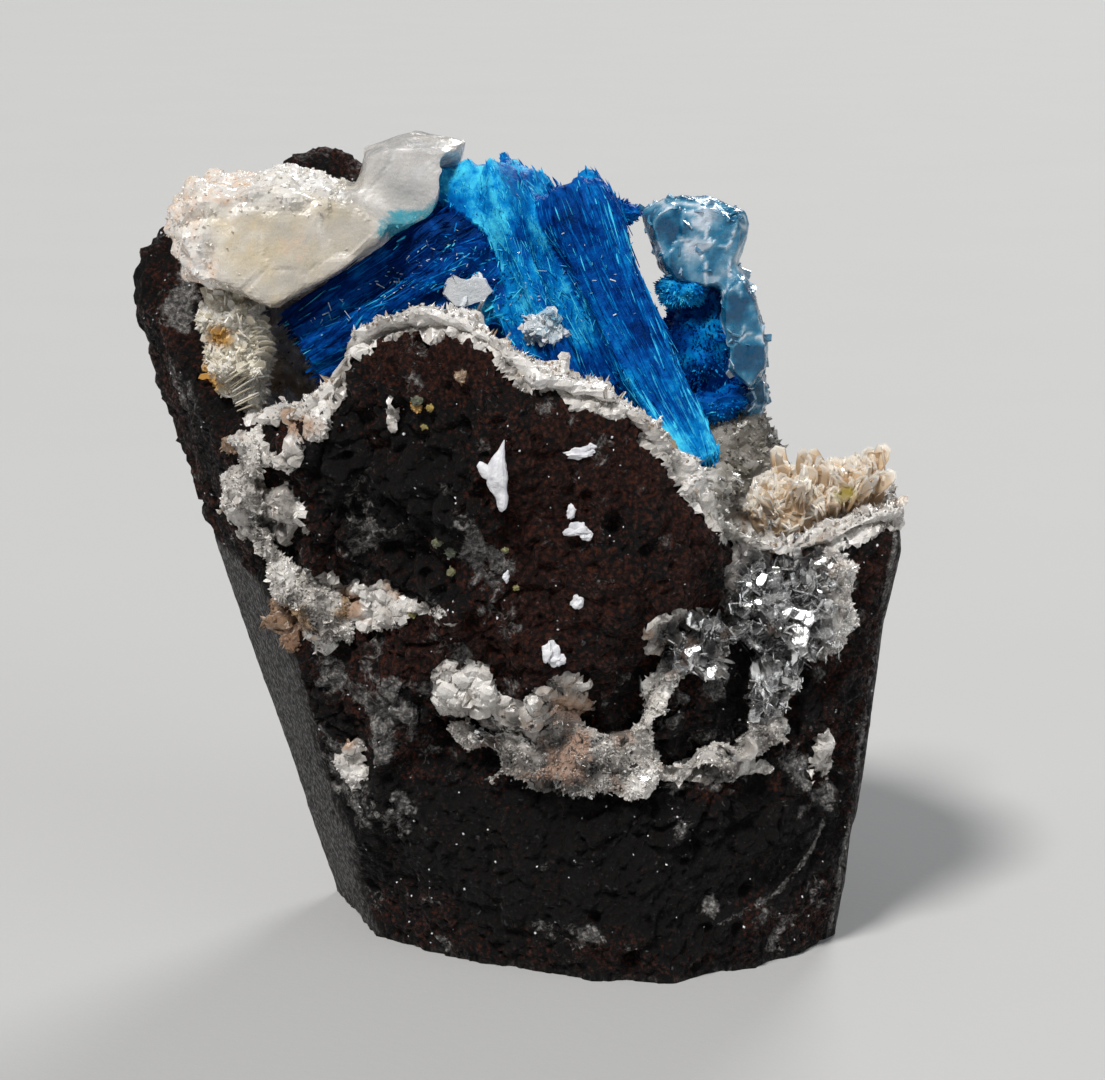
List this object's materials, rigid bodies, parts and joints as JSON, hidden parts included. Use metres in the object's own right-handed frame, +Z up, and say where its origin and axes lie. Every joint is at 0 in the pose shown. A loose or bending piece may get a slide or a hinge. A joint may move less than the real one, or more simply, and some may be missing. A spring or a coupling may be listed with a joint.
{
  "type": "cavansite mineral specimen",
  "caption": "Trimmed block of dark basalt whose open, crystal-lined hollow holds blue cavansite sprays beside cream and white stilbite; a display specimen that stands on its sawn base.",
  "frame": {"origin": "on the flat sawn base, below the middle of the specimen's box", "axes": "+Z up, along the specimen's height; -Y towards the front, where the blue sprays show; +X to the right of the front"},
  "size_m": [0.0457, 0.0355, 0.0479],
  "materials": {
    "basalt": "rough broken rock, sawn and dull on its sides and base",
    "stilbite": "sugary translucent crystals with a glassy to pearly lustre",
    "cream_stilbite": "waxy translucent cream crystal, glassy on its faces",
    "tan_stilbite": "translucent tan blades with bright edges",
    "blue_stilbite": "translucent pale crystal, tinted by the blue behind it",
    "cavansite": "silky fibrous blades, glassy at their edges",
    "calcite": "matt white"
  },
  "bodies": {
    "root": {"basalt_matrix": "basalt", "cavansite_cluster": "cavansite", "cavansite_rosette": "cavansite", "stilbite_sheaf": "cream_stilbite", "stilbite_wall": "cream_stilbite", "stilbite_crust": "stilbite", "stilbite_shoulder": "tan_stilbite", "stilbite_rear_plates": "blue_stilbite", "stilbite_vein": "stilbite", "stilbite_edge": "stilbite", "calcite_drop": "calcite"}
  },
  "joints": []
}
